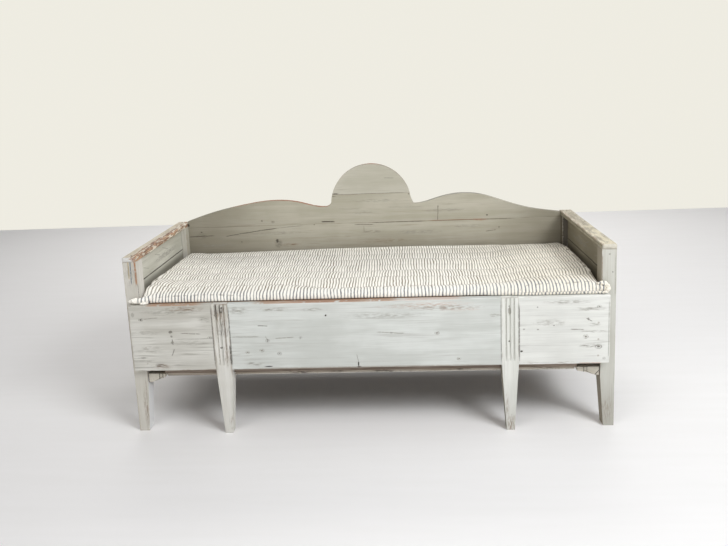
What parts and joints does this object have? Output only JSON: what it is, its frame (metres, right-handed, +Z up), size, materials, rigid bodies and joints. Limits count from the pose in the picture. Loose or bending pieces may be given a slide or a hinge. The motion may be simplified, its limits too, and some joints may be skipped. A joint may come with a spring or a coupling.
{
  "type": "pull-out bench bed",
  "caption": "Painted wooden bench with a shaped backrest and low arms whose fluted front pulls out as a drawer on its own legs to make a wide bed under a lift-off seat and thin mattress.",
  "frame": {"origin": "on the floor, in the middle of the bench's outline", "axes": "+X along the length, to the right seen from the front; -Y is the front, the way the drawer pulls out; +Z up"},
  "size_m": [1.74, 0.6252, 0.904],
  "materials": {
    "grey_paint": "worn pale grey-green paint on pine",
    "back_paint": "thin worn grey-green paint on pine",
    "bare_pine": "aged bare pine",
    "iron": "dark wrought nails",
    "ticking": "cream cotton with narrow grey-blue stripes"
  },
  "bodies": {
    "frame": {"arm_cap_left": "grey_paint", "arm_cap_right": "grey_paint", "arm_panel_left": "grey_paint", "arm_panel_right": "grey_paint", "back_board_lower": "back_paint", "back_board_upper": "back_paint", "back_crest": "back_paint", "bed_slats": "bare_pine", "box_back_board": "back_paint", "cap_nails": "iron", "crest_dowels": "bare_pine", "end_board_left": "grey_paint", "end_board_right": "grey_paint", "frame_pegs": "bare_pine", "front_post_left": "grey_paint", "front_post_right": "grey_paint", "lid_cleat_left": "bare_pine", "lid_cleat_right": "bare_pine", "lid_ledge_rear": "bare_pine", "rear_post_left": "grey_paint", "rear_post_right": "grey_paint", "rear_rail": "back_paint", "runner_left": "grey_paint", "runner_right": "grey_paint", "runner_strip_left": "grey_paint", "runner_strip_right": "grey_paint", "seat_front_rail": "bare_pine", "side_rail_left": "grey_paint", "side_rail_right": "grey_paint", "slat_bearer": "bare_pine", "slat_ledge": "bare_pine"},
    "drawer": {"drawer_bottom_boards": "bare_pine", "drawer_corner_block_left": "bare_pine", "drawer_corner_block_right": "bare_pine", "drawer_cross_rail": "grey_paint", "drawer_front_centre": "grey_paint", "drawer_front_left": "grey_paint", "drawer_front_right": "grey_paint", "drawer_ledger": "bare_pine", "drawer_nails": "iron", "drawer_rear_batten": "bare_pine", "drawer_side_left": "bare_pine", "drawer_side_right": "bare_pine", "drawer_skid_left": "bare_pine", "drawer_skid_right": "bare_pine", "drawer_stop_left": "bare_pine", "drawer_stop_right": "bare_pine", "pilaster_leg_left": "grey_paint", "pilaster_leg_right": "grey_paint"},
    "seat_lid": {"seat_board_front": "bare_pine", "seat_board_rear": "bare_pine", "seat_battens": "bare_pine", "seat_nails": "iron"},
    "mattress": {"mattress": "ticking"}
  },
  "joints": [
    {"name": "drawer_slide", "type": "slide", "parent": "frame", "child": "drawer", "axis": [0, -1, 0], "range_m": [0, 0.4627]},
    {"name": "lid_lift", "type": "slide", "parent": "frame", "child": "seat_lid", "axis": [0, 0, 1], "range_m": [0, 0.25]},
    {"name": "mattress_lift", "type": "slide", "parent": "seat_lid", "child": "mattress", "axis": [0, 0, 1], "range_m": [0, 0.2]}
  ]
}
